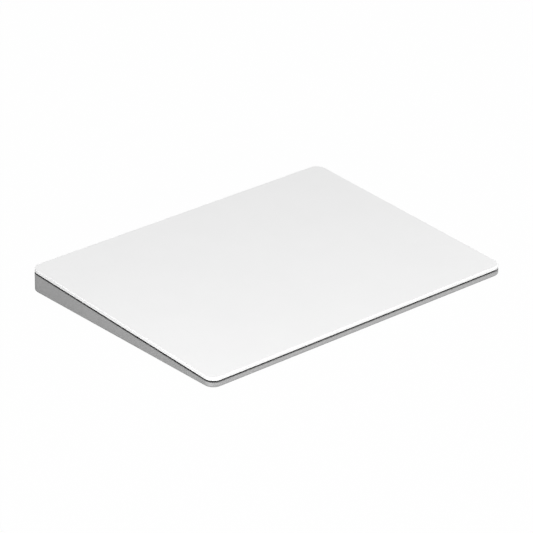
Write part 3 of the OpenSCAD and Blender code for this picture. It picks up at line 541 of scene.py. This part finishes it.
# fired bodies with tinned ends
def firedCeramic():
    look = {
        "dark": (0.36, 0.25, 0.15), "light": (0.5, 0.37, 0.24), "tin": (0.66, 0.65, 0.62),
        "firstX": 4.52 * mm, "pitch": 2 * mm, "length": 1 * mm, "cap": 0.24 * mm, "speck": 0.06 * mm,
        "capMetal": 0.95, "capGloss": 0.2, "capHeight": 1.5,
        "rough": 0.5, "speckRough": 0.1, "relief": (0.012 * mm, 0.6),
    }
    finish = Finish("firedCeramic")
    part = (finish.along("x") - look["firstX"]) % look["pitch"]
    cap = 1 - (part > look["cap"]) * (part < look["length"] - look["cap"])
    speck = finish.grain(look["speck"])
    body = finish.tint(speck, look["dark"], look["light"])
    return finish.close(
        Base_Color=finish.tint(cap, body, look["tin"]), Metallic=cap * look["capMetal"],
        Roughness=look["rough"] - cap * look["capGloss"] + speck * look["speckRough"],
        Normal=finish.bump(speck + cap * look["capHeight"], look["relief"]))


# stacked sheets with dark seams between them
def laminatedIron():
    look = {
        "dark": (0.1, 0.1, 0.105), "light": (0.24, 0.24, 0.245),
        "sheet": 0.14 * mm, "seam": 0.2, "seamDark": 0.4, "rust": 1.5 * mm, "rustHeight": 0.3,
        "metal": 0.85, "rough": 0.44, "rustRough": 0.16, "relief": (0.02 * mm, 0.7),
    }
    finish = Finish("laminatedIron")
    seam = finish.lines("z", look["sheet"], look["seam"])
    rust = finish.grain(look["rust"], detail=4.0)
    return finish.close(
        Base_Color=finish.tint(rust - seam * look["seamDark"], look["dark"], look["light"]),
        Metallic=look["metal"], Roughness=look["rough"] + rust * look["rustRough"],
        Normal=finish.bump(rust * look["rustHeight"] - seam, look["relief"]))


def softIron():
    look = {
        "dark": (0.14, 0.14, 0.145), "light": (0.3, 0.3, 0.305),
        "scale": 1.8 * mm, "cut": 0.09 * mm, "shares": (0.7, 0.3),
        "metal": 0.9, "rough": 0.38, "scaleRough": 0.2, "relief": (0.006 * mm, 0.5),
    }
    finish = Finish("softIron")
    scale = finish.grain(look["scale"], detail=4.0)
    cut = finish.grain(look["cut"], stretch=brushed["x"])
    return finish.close(
        Base_Color=finish.tint(mixed((scale, cut), look["shares"]), look["dark"], look["light"]),
        Metallic=look["metal"], Roughness=look["rough"] + scale * look["scaleRough"],
        Normal=finish.bump(cut, look["relief"]))


def pressedPowder():
    look = {
        "dark": (0.03, 0.03, 0.033), "light": (0.11, 0.11, 0.115), "grit": 0.1 * mm, "gritHarsh": 0.7,
        "metal": 0.2, "rough": 0.5, "gritRough": 0.2, "relief": (0.012 * mm, 0.6),
    }
    finish = Finish("pressedPowder")
    grit = finish.grain(look["grit"], detail=4.0, roughness=look["gritHarsh"])
    return finish.close(
        Base_Color=finish.tint(grit, look["dark"], look["light"]), Metallic=look["metal"],
        Roughness=look["rough"] + grit * look["gritRough"], Normal=finish.bump(grit, look["relief"]))


springLook = {"dark": (0.42, 0.42, 0.43), "light": (0.6, 0.6, 0.61), "rough": 0.26, "stretch": brushed["x"]}
beamLook = {"dark": (0.46, 0.46, 0.46), "light": (0.64, 0.64, 0.63), "rough": 0.24, "stretch": brushed["y"]}
chipLook = {
    "dark": (0.012, 0.012, 0.013), "light": (0.045, 0.045, 0.047), "rough": 0.46, "skinSize": 0.09 * mm,
}
gaugeLook = {"axis": "x", "pitch": 0.3 * mm, "share": 0.5}
flexLook = {"axis": "x", "pitch": 0.4 * mm, "share": 0.55}
formerLook = {"dark": (0.02, 0.02, 0.021), "light": (0.06, 0.06, 0.062), "rough": 0.42}
carrierLook = {"dark": (0.03, 0.03, 0.031), "light": (0.085, 0.085, 0.087), "rough": 0.4}
antennaLook = {"dark": (0.6, 0.44, 0.17), "light": (0.86, 0.68, 0.33), "rough": 0.2}
housingLook = {"dark": (0.02, 0.02, 0.021), "light": (0.065, 0.065, 0.067), "rough": 0.4}
plugLook = {"dark": (0.56, 0.53, 0.45), "light": (0.7, 0.67, 0.58), "rough": 0.38}
dress(blackPrint(), "bonding_sheet")
dress(touchGrid(), "sensor_board")
dress(solderMask(), "main_board", "battery_board")
dress(mouldedPlastic("chipResin", **chipLook), "touch_controller", "radio_chip", "charge_chip")
dress(drawnSteel("springSteel", **springLook), "stiffener_plate", "drive_base", "port_strap")
dress(drawnSteel("beamSteel", **beamLook), *atCorners("sensor_beam"))
dress(flexFilm("gaugeFilm", **gaugeLook), *atCorners("strain_gauge"))
filmStrips = ("main_flex", "gauge_harness_left", "gauge_harness_right", "drive_lead")
dress(flexFilm("flexFilm", **flexLook), *filmStrips)
dress(softIron(), "armature")
dress(laminatedIron(), "drive_core")
dress(mouldedPlastic("formerPlastic", **formerLook), "drive_formers")
dress(pouchFoil(), "battery_cell")
dress(tapeCloth(), "battery_tape")
dress(wireCover(), "battery_wires")
dress(tinnedSheet(), "shield_can")
dress(pressedPowder(), "power_coil")
dress(firedCeramic(), "board_passives")
dress(mouldedPlastic("antennaPlastic", **carrierLook), "antenna_carrier")
dress(platedMetal("antennaMetal", **antennaLook), "antenna_strip")
dress(mouldedPlastic("switchPlastic", **housingLook), "switch_housing")
dress(mouldedPlastic("plugPlastic", **plugLook), "battery_plug")
print("inside dressed")


# pieces modelled one by one

near = 0.01 * mm  # slack when points and edges are picked by place
squareOn = 0.9  # least cosine between a face's normal and the way that it faces
upward = Vector((0, 0, 1))
frontward = Vector((0, -1, 0))


def facing(face, way):
    return face.normal.dot(way) > squareOn


def endsOf(piece, edge):
    return [piece.data.vertices[end].co for end in edge.vertices]


# selects what passes the test, polygons, edges or vertices, and stays in edit mode
def pick(piece, kind, test):
    bpy.ops.object.mode_set(mode="EDIT")
    bpy.ops.mesh.select_mode(type={"polygons": "FACE", "edges": "EDGE", "vertices": "VERT"}[kind])
    bpy.ops.mesh.select_all(action="DESELECT")
    bpy.ops.object.mode_set(mode="OBJECT")
    for item in getattr(piece.data, kind):
        item.select = bool(test(item))
    bpy.ops.object.mode_set(mode="EDIT")


def stretchTo(factors, centre=(0, 0, 0)):
    bpy.ops.transform.resize(value=factors, center_override=centre)


def pull(step):
    bpy.ops.mesh.extrude_region_move(TRANSFORM_OT_translate={"value": step})


def smoothOff(degrees):
    bpy.ops.object.mode_set(mode="OBJECT")
    bpy.ops.object.shade_smooth_by_angle(angle=math.radians(degrees))


# starting shapes that stand on the origin
def freshBlock(width, depth, height):
    bpy.ops.object.select_all(action="DESELECT")
    bpy.ops.mesh.primitive_cube_add(size=1, location=(0, 0, height / 2))
    block = bpy.context.object
    block.scale = (width, depth, height)
    bpy.ops.object.transform_apply(location=True, rotation=True, scale=True)
    return block


def freshRod(sides, radius, height):
    bpy.ops.object.select_all(action="DESELECT")
    bpy.ops.mesh.primitive_cylinder_add(
        vertices=sides, radius=radius, depth=height, location=(0, 0, height / 2))
    bpy.ops.object.transform_apply(location=True, rotation=True, scale=True)
    return bpy.context.object


# copies of a piece at each place, joined to one object whose place is in its mesh
def setOut(piece, name, places):
    twins = []
    for place in places:
        twin = piece.copy()
        twin.data = piece.data.copy()
        scene.collection.objects.link(twin)
        twin.matrix_world = place
        twins.append(twin)
    bpy.ops.object.select_all(action="DESELECT")
    for twin in twins:
        twin.select_set(True)
    bpy.context.view_layer.objects.active = twins[0]
    bpy.ops.object.transform_apply(location=True, rotation=True, scale=True)
    if len(twins) > 1:
        bpy.ops.object.join()
    twins[0].name = name
    return twins[0]


def finishPiece(piece, material, body, slot, *replaced):
    piece.data.materials.clear()
    piece.data.materials.append(material)
    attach(piece, body)
    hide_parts(*replaced)


deck = {"frontH": 4.9 * mm, "rearH": 10.9 * mm, "depth": 115 * mm}  # top of the touch plate
deckSlope = math.atan((deck["rearH"] - deck["frontH"]) / deck["depth"])
deckMiddle = (deck["frontH"] + deck["rearH"]) / 2


# a place on the sloped deck, with z square to it
def onDeck(x, y, below):
    tilted = Matrix.Translation((0, 0, deckMiddle)) @ Matrix.Rotation(deckSlope, 4, "X")
    return tilted @ Matrix.Translation((x, y, -below))


# small screws: six-lobe recess, rounded head and a cut thread

def modelScrew(shank):
    look = {
        "headR": 1.25 * mm, "headH": 0.4 * mm, "headRound": 0.12 * mm, "roundSteps": 3, "sides": 24,
        "recessR": 0.66 * mm, "recessDepth": 0.22 * mm, "recessTaper": 0.9, "lobes": 6, "lobe": 0.74,
        "shankR": 0.65 * mm, "neck": 0.2 * mm, "threadStep": 0.13 * mm, "threadRoot": 0.82,
        "tip": 0.1 * mm, "tipTaper": 0.8, "smooth": 32,
    }
    headH, headR, recessR = look["headH"], look["headR"], look["recessR"]
    screw = freshRod(look["sides"], headR, headH)

    def betweenLobes(point):
        onRing = abs(point.co.xy.length - recessR) < near
        return onRing and math.cos(look["lobes"] * math.atan2(point.co.y, point.co.x)) < -squareOn

    pick(screw, "polygons", lambda face: facing(face, upward))
    bpy.ops.mesh.inset(thickness=headR - recessR)
    pick(screw, "vertices", betweenLobes)
    stretchTo((look["lobe"], look["lobe"], 1), (0, 0, headH))
    pick(screw, "polygons", lambda face: facing(face, upward) and face.center.xy.length < near)
    pull((0, 0, -look["recessDepth"]))
    stretchTo((look["recessTaper"], look["recessTaper"], 1), (0, 0, headH - look["recessDepth"]))
    pick(screw, "edges", lambda edge: all(
        abs(end.z - headH) < near and end.xy.length > headR - near for end in endsOf(screw, edge)))
    bpy.ops.mesh.bevel(offset=look["headRound"], segments=look["roundSteps"], affect="EDGES")
    pick(screw, "polygons", lambda face: facing(face, -upward))
    bpy.ops.mesh.inset(thickness=headR - look["shankR"])
    pull((0, 0, -look["neck"]))
    depth = look["neck"]
    narrow = False
    while depth + look["threadStep"] + look["tip"] < shank:
        pull((0, 0, -look["threadStep"]))
        depth += look["threadStep"]
        factor = 1 / look["threadRoot"] if narrow else look["threadRoot"]
        stretchTo((factor, factor, 1), (0, 0, -depth))
        narrow = not narrow
    pull((0, 0, depth - shank))
    stretchTo((look["tipTaper"], look["tipTaper"], 1), (0, 0, -shank))
    smoothOff(look["smooth"])
    return screw, look


def screwSet(node, name, shank, places=None):
    screw, look = modelScrew(shank)
    if places is None:  # a head in each corner of the node's box
        low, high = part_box(node)
        rim = look["headR"]
        spots = {(x, y) for x in (low.x + rim, high.x - rim)
                 for y in (low.y + rim, max(low.y + rim, high.y - rim))}
        places = [Matrix.Translation((x, y, high.z - look["headH"])) for x, y in sorted(spots)]
    joined = setOut(screw, name, places)
    bpy.data.objects.remove(screw)
    finishPiece(joined, screwSteel, "base", "screw_steel", node)


screwLook = {"dark": (0.36, 0.36, 0.37), "light": (0.56, 0.56, 0.57), "rough": 0.24}
screwSteel = platedMetal("screwSteel", **screwLook)
shanks = {"beam": 1.8 * mm, "board": 1.7 * mm, "port": 1.2 * mm, "drive": 1.0 * mm}
beamSpots = {"x": 67 * mm, "halfPitch": 3.6 * mm, "y": 28.0781 * mm, "below": 3.15 * mm}  # the beams' roots
screwSet("beam_screws", "beamScrewSet", shanks["beam"], [
    onDeck(side * beamSpots["x"] + step * beamSpots["halfPitch"], end * beamSpots["y"], beamSpots["below"])
    for side in (-1, 1) for end in (-1, 1) for step in (-1, 1)])
screwSet("board_screws", "boardScrewSet", shanks["board"])
screwSet("port_screws", "portScrewSet", shanks["port"])
screwSet("drive_screws", "driveScrewSet", shanks["drive"])
print("screws set")


# gel pads: soft pucks that bulge between beam and plate

def gelFinish():
    look = {
        "dark": (0.5, 0.6, 0.66), "light": (0.64, 0.72, 0.77), "bubble": 0.5 * mm,
        "clear": 0.4, "ior": 1.42, "rough": 0.2, "bubbleRough": 0.14, "relief": (0.01 * mm, 0.4),
    }
    finish = Finish("clearGel")
    bubble = finish.grain(look["bubble"], detail=3.0)
    return finish.close(
        Base_Color=finish.tint(bubble, look["dark"], look["light"]),
        Roughness=look["rough"] + bubble * look["bubbleRough"],
        Transmission_Weight=look["clear"], IOR=look["ior"], Normal=finish.bump(bubble, look["relief"]))


def modelGelPad(thick):
    look = {
        "radius": 4 * mm, "sides": 48, "bulge": 0.24 * mm, "bulgeSteps": 5,
        "dimple": 1.6 * mm, "dimpleWall": 0.4 * mm, "dimpleDepth": 0.05 * mm, "smooth": 40,
    }
    pad = freshRod(look["sides"], look["radius"], thick)

    def level(edge):
        start, end = endsOf(pad, edge)
        return abs(start.z - end.z) < near

    pick(pad, "edges", level)
    bpy.ops.mesh.bevel(offset=look["bulge"], segments=look["bulgeSteps"], affect="EDGES")
    for way in (-upward, upward):  # a shallow ring moulded into both end faces
        pick(pad, "polygons", lambda face: facing(face, way) and len(face.vertices) == look["sides"])
        bpy.ops.mesh.inset(thickness=look["dimple"])
        bpy.ops.mesh.inset(thickness=look["dimpleWall"], depth=-look["dimpleDepth"])
        bpy.ops.mesh.inset(thickness=look["dimpleWall"], depth=look["dimpleDepth"])
    smoothOff(look["smooth"])
    return pad


gelSpots = {"x": 67 * mm, "y": 45.0781 * mm, "below": 3.15 * mm, "thick": 0.5 * mm}  # the beams' tips
press = next(joint for joint in frame["record"]["behaviour"]["joints"] if joint["name"] == "plate_press")
pressedShare = 1 - press["range_m"][1] / gelSpots["thick"]
gelPad = modelGelPad(gelSpots["thick"])
clearGel = gelFinish()
for corner, (sideX, sideY) in corners.items():
    spot = onDeck(sideX * gelSpots["x"], sideY * gelSpots["y"], gelSpots["below"])
    puck = setOut(gelPad, "gelPuck_" + corner, [spot])
    finishPiece(puck, clearGel, "gel_pads", "gel", "gel_pad_" + corner)
    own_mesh(puck)
bpy.data.objects.remove(gelPad)
print("gel pads made")


# windings: rows of round wire on the three formers

def enamelledCopper(turn):
    look = {
        "dark": (0.32, 0.09, 0.025), "light": (0.62, 0.24, 0.08), "run": 0.8 * mm, "shares": (0.5, 0.5),
        "metal": 0.85, "enamel": 0.5, "rough": 0.26, "runRough": 0.14, "relief": (0.004 * mm, 0.5),
    }
    finish = Finish("enamelledCopper")
    # painted highlight along the crest of each turn and painted shade in the groove between turns, mixed
    # half and half with random tone
    paintedTurnShading = finish.wave("y", turn)
    run = finish.grain(look["run"], detail=3.0)
    return finish.close(
        Base_Color=finish.tint(mixed((paintedTurnShading, run), look["shares"]), look["dark"], look["light"]),
        Metallic=look["metal"], Roughness=look["rough"] + run * look["runRough"],
        Coat_Weight=look["enamel"], Normal=finish.bump(run, look["relief"]))


def modelWindings():
    look = {
        "turns": 24, "polePitch": 14 * mm, "cornerR": 0.5 * mm, "cornerSteps": 5, "wall": 0.25 * mm,
        "groove": 0.07 * mm, "shoulder": 0.2,  # depth between two turns, and its slope's share of a turn
        "joinShare": 0.02, "weld": 0.001 * mm, "smooth": 50,
    }
    low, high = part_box("drive_windings")
    span = high - low
    wide, tall = span.x - 2 * look["polePitch"], span.z
    turn = span.y / look["turns"]
    crown = (1 / (1 - 2 * look["groove"] / wide), 1, 1 / (1 - 2 * look["groove"] / tall))
    valley = [1 / factor for factor in crown]
    bpy.ops.object.select_all(action="DESELECT")
    bpy.ops.mesh.primitive_plane_add(size=1)
    coil = bpy.context.object
    coil.rotation_euler = (math.pi / 2, 0, 0)
    coil.scale = (wide * valley[0], tall * valley[2], 1)
    bpy.ops.object.transform_apply(location=True, rotation=True, scale=True)
    bpy.ops.object.mode_set(mode="EDIT")
    bpy.ops.mesh.select_mode(type="EDGE")
    bpy.ops.mesh.select_all(action="SELECT")
    bpy.ops.mesh.bevel(offset=look["cornerR"], segments=look["cornerSteps"], affect="VERTICES")
    bpy.ops.mesh.delete(type="ONLY_FACE")
    bpy.ops.mesh.select_all(action="SELECT")
    shoulder = look["shoulder"]
    # one turn: out, along, in
    for share, factors in ((shoulder, crown), (1 - 2 * shoulder, None), (shoulder, valley)):
        pull((0, turn * share, 0))
        if factors:
            stretchTo(factors)
    bpy.ops.object.mode_set(mode="OBJECT")
    rows = coil.modifiers.new("turns", "ARRAY")
    rows.count = look["turns"]
    rows.use_relative_offset = False
    rows.use_constant_offset = True
    rows.constant_offset_displace = (0, turn, 0)
    rows.use_merge_vertices = True
    rows.merge_threshold = turn * look["joinShare"]
    bpy.ops.object.modifier_apply(modifier=rows.name)
    bpy.ops.object.mode_set(mode="EDIT")
    bpy.ops.mesh.select_all(action="SELECT")
    bpy.ops.mesh.remove_doubles(threshold=look["weld"])
    bpy.ops.mesh.normals_make_consistent(inside=False)
    bpy.ops.object.mode_set(mode="OBJECT")
    skin = coil.modifiers.new("wall", "SOLIDIFY")
    skin.thickness = look["wall"]
    skin.offset = -1
    bpy.ops.object.modifier_apply(modifier=skin.name)
    smoothOff(look["smooth"])
    middle = (low + high) / 2
    joined = setOut(coil, "wireWindings", [
        Matrix.Translation((middle.x + step * look["polePitch"], low.y, middle.z)) for step in (-1, 0, 1)])
    bpy.data.objects.remove(coil)
    finishPiece(joined, enamelledCopper(turn), "base", "copper_wire", "drive_windings")


modelWindings()
print("windings made")


# flex sockets: low body with a sunk roof and a raised latch bar

def modelSocket(wide):
    look = {
        "deep": 3.2 * mm, "high": 1.2 * mm, "edge": 0.05 * mm, "edgeSteps": 2, "smooth": 35,
        "latchH": 0.3 * mm, "latchAt": 0.1 * mm, "latchEdge": 0.12 * mm,
        "pullEdge": 0.18 * mm, "pullDepth": 0.06 * mm, "channel": 0.12 * mm, "channelEdge": 0.25 * mm,
        "mouthEdge": 0.2 * mm, "mouth": 0.22 * mm,  # room for the flex's end as the plate shakes
    }
    body = look["high"] - look["latchH"]
    socket = freshBlock(wide, look["deep"], body)

    def onRoof(face):
        return facing(face, upward) and face.center.z > body - near

    pick(socket, "polygons", lambda face: facing(face, frontward))
    bpy.ops.mesh.inset(thickness=look["mouthEdge"])
    pull((0, look["mouth"], 0))
    bpy.ops.mesh.select_all(action="SELECT")
    bpy.ops.mesh.bisect(plane_co=(0, look["latchAt"], 0), plane_no=(0, 1, 0))
    pick(socket, "polygons", lambda face: onRoof(face) and face.center.y > look["latchAt"])
    bpy.ops.mesh.inset(thickness=look["latchEdge"])
    pull((0, 0, look["latchH"]))
    bpy.ops.mesh.inset(thickness=look["pullEdge"], depth=-look["pullDepth"])
    pick(socket, "polygons", lambda face: onRoof(face) and face.center.y < look["latchAt"])
    bpy.ops.mesh.inset(thickness=look["channelEdge"], depth=-look["channel"])
    bpy.ops.object.mode_set(mode="OBJECT")
    edge = socket.modifiers.new("edge", "BEVEL")
    edge.width = look["edge"]
    edge.segments = look["edgeSteps"]
    edge.limit_method = "ANGLE"
    bpy.ops.object.modifier_apply(modifier=edge.name)
    smoothOff(look["smooth"])
    return socket


def socketSet(node, name, wide, body, places):
    socket = modelSocket(wide)
    joined = setOut(socket, name, places)
    bpy.data.objects.remove(socket)
    finishPiece(joined, ivoryNylon, body, "socket_plastic", node)


nylonLook = {"dark": (0.55, 0.52, 0.44), "light": (0.7, 0.67, 0.58), "rough": 0.36, "skinSize": 0.1 * mm}
ivoryNylon = mouldedPlastic("ivoryNylon", **nylonLook)
spots = {  # middles of the sockets, the height of the board under them, and their two widths
    "board": 3.2 * mm, "row": 40.7 * mm, "flexX": -20 * mm, "driveX": -29.2 * mm,
    "harnessX": 47.8 * mm, "harnessY": 47.05 * mm, "plateY": 42.7 * mm, "plateBelow": 2.25 * mm,
    "flexWide": 13 * mm, "stripWide": 3.4 * mm,
}
socketSet("flex_socket", "flexSocketBody", spots["flexWide"], "base", [
    Matrix.Translation((spots["flexX"], spots["row"], spots["board"]))])
socketSet("drive_socket", "driveSocketBody", spots["stripWide"], "base", [
    Matrix.Translation((spots["driveX"], spots["row"], spots["board"]))])
socketSet("harness_sockets", "harnessSocketPair", spots["stripWide"], "base", [
    Matrix.Translation((side * spots["harnessX"], spots["harnessY"], spots["board"])) @
    Matrix.Rotation(side * math.pi / 2, 4, "Z") for side in (-1, 1)])
socketSet("sensor_socket", "plateSocketBody", spots["flexWide"], "touch_plate", [
    onDeck(spots["flexX"], spots["plateY"], spots["plateBelow"]) @ Matrix.Rotation(math.pi, 4, "Y")])
print("sockets made")

bpy.context.view_layer.update()
